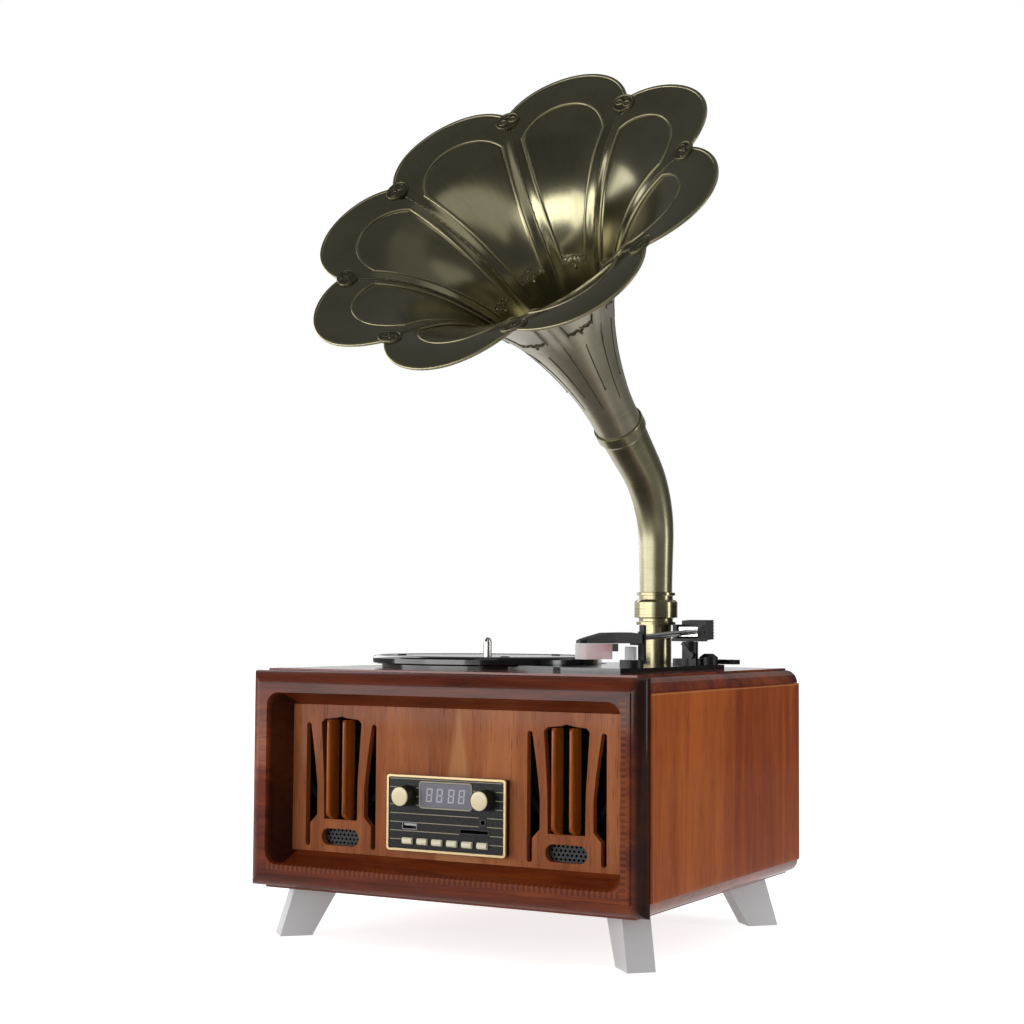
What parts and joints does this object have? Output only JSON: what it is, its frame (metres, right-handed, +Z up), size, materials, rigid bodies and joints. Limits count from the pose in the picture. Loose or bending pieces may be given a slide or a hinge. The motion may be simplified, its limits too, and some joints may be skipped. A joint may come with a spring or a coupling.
{
  "type": "gramophone",
  "caption": "Wooden gramophone with a front radio and fretwork grilles, a belt-driven turntable with tonearm, and a petalled brass horn on a curved elbow.",
  "frame": {"origin": "middle of the bounding box on the floor under the feet", "axes": "+Z up, +X to the right seen from the front with the radio, +Y from the front towards the back"},
  "size_m": [0.4112, 0.4176, 0.7165],
  "materials": {
    "cabinet_wood": "gloss lacquer over veneer",
    "walnut": "satin lacquer over walnut veneer",
    "grille_wood": "satin lacquer, light edges",
    "foot_metal": "satin nickel",
    "black_steel": "matt black paint",
    "plate_black": "gloss black paint",
    "radio_gold": "gold anodised, fine matt",
    "black_plastic": "gloss black",
    "dark_plastic": "matt dark",
    "window": "clear grey window",
    "cream_plastic": "pale gold lacquer",
    "contact_metal": "bright nickel",
    "rubber": "matt",
    "bright_steel": "polished",
    "pulley_brass": "turned",
    "guard_plastic": "milky, lets light through",
    "brass": "antique brass, brushed and lacquered"
  },
  "bodies": {
    "cabinet": {"top_panel": "cabinet_wood", "bottom_panel": "cabinet_wood", "side_panel_left": "cabinet_wood", "side_panel_right": "cabinet_wood", "rear_panel": "dark_plastic", "front_frame": "cabinet_wood", "fascia": "walnut", "leg_front_left": "foot_metal", "leg_front_right": "foot_metal", "leg_rear_left": "foot_metal", "leg_rear_right": "foot_metal", "grille_fins_left": "grille_wood", "grille_fins_right": "grille_wood", "grille_mesh_left": "black_steel", "grille_mesh_right": "black_steel", "speaker_left": "black_steel", "speaker_right": "black_steel", "radio_case": "black_steel", "radio_bezel": "radio_gold", "radio_face": "black_plastic", "display_window": "window", "usb_socket": "contact_metal", "card_slot": "contact_metal", "aux_jack": "black_plastic", "base_plate": "plate_black", "motor": "bright_steel", "drive_belt": "rubber", "arm_base": "black_plastic", "arm_rest": "black_plastic", "rest_column": "guard_plastic", "horn_socket": "brass", "power_inlet": "dark_plastic"},
    "platter": {"platter": "plate_black", "platter_pads": "rubber", "spindle": "bright_steel"},
    "pulley": {"motor_pulley": "pulley_brass"},
    "arm_turret": {"arm_yoke": "dark_plastic"},
    "arm": {"arm_tube": "bright_steel", "arm_weight": "dark_plastic", "headshell": "black_plastic", "cartridge": "black_plastic"},
    "guard": {"stylus_guard": "guard_plastic"},
    "cue_lever": {"cue_lever": "dark_plastic"},
    "speed_lever": {"speed_lever": "black_plastic"},
    "horn": {"horn_ferrule": "brass", "horn_elbow": "brass", "horn_neck": "brass", "horn_petals": "brass", "horn_medallions": "brass"},
    "knob_volume": {"knob_volume": "dark_plastic", "knob_cap_volume": "radio_gold"},
    "knob_tuning": {"knob_tuning": "dark_plastic", "knob_cap_tuning": "radio_gold"},
    "button_1": {"button_1": "cream_plastic"},
    "button_2": {"button_2": "cream_plastic"},
    "button_3": {"button_3": "cream_plastic"},
    "button_4": {"button_4": "cream_plastic"},
    "button_5": {"button_5": "cream_plastic"},
    "button_6": {"button_6": "cream_plastic"}
  },
  "joints": [
    {"name": "platter_spin", "type": "hinge", "parent": "cabinet", "child": "platter", "pos_m": [-0.07958, 0.06484, 0.225], "axis": [0, 0, 1], "continuous": true},
    {"name": "pulley_spin", "type": "hinge", "parent": "cabinet", "child": "pulley", "pos_m": [-0.12766, 0.01676, 0.222], "axis": [0, 0, 1], "continuous": true},
    {"name": "tonearm_swing", "type": "hinge", "parent": "cabinet", "child": "arm_turret", "pos_m": [0.08142, 0.13684, 0.243], "axis": [0, 0, 1], "range_deg": [-52, 0]},
    {"name": "tonearm_lift", "type": "hinge", "parent": "arm_turret", "child": "arm", "pos_m": [0.08142, 0.13684, 0.251], "axis": [-0.9943, -0.1063, 0], "range_deg": [0, 12]},
    {"name": "guard_pull", "type": "slide", "parent": "arm", "child": "guard", "axis": [-0.3827, -0.9239, 0], "range_m": [0, 0.028]},
    {"name": "cue_lever_turn", "type": "hinge", "parent": "cabinet", "child": "cue_lever", "pos_m": [0.08883, 0.12084, 0.2312], "axis": [0, 1, 0], "range_deg": [0, 60]},
    {"name": "speed_lever_turn", "type": "hinge", "parent": "cabinet", "child": "speed_lever", "pos_m": [0.08843, 0.15884, 0.224], "axis": [0, 0, 1], "range_deg": [-15, 15]},
    {"name": "horn_swivel", "type": "hinge", "parent": "cabinet", "child": "horn", "pos_m": [0.03902, 0.15884, 0.283], "axis": [0, 0, 1], "continuous": true},
    {"name": "knob_volume_turn", "type": "hinge", "parent": "cabinet", "child": "knob_volume", "pos_m": [-0.06157, -0.10116, 0.1209], "axis": [0, 1, 0], "range_deg": [-150, 150]},
    {"name": "knob_tuning_turn", "type": "hinge", "parent": "cabinet", "child": "knob_tuning", "pos_m": [0.01043, -0.10116, 0.1209], "axis": [0, 1, 0], "continuous": true},
    {"name": "button_1_press", "type": "slide", "parent": "cabinet", "child": "button_1", "axis": [0, 1, 0], "range_m": [0, 0.0015], "stiffness_N_per_m": 300},
    {"name": "button_2_press", "type": "slide", "parent": "cabinet", "child": "button_2", "axis": [0, 1, 0], "range_m": [0, 0.0015], "stiffness_N_per_m": 300},
    {"name": "button_3_press", "type": "slide", "parent": "cabinet", "child": "button_3", "axis": [0, 1, 0], "range_m": [0, 0.0015], "stiffness_N_per_m": 300},
    {"name": "button_4_press", "type": "slide", "parent": "cabinet", "child": "button_4", "axis": [0, 1, 0], "range_m": [0, 0.0015], "stiffness_N_per_m": 300},
    {"name": "button_5_press", "type": "slide", "parent": "cabinet", "child": "button_5", "axis": [0, 1, 0], "range_m": [0, 0.0015], "stiffness_N_per_m": 300},
    {"name": "button_6_press", "type": "slide", "parent": "cabinet", "child": "button_6", "axis": [0, 1, 0], "range_m": [0, 0.0015], "stiffness_N_per_m": 300}
  ],
  "couplings": [
    {"joint": "pulley_spin", "follows": "platter_spin", "ratio": 9.4545}
  ]
}
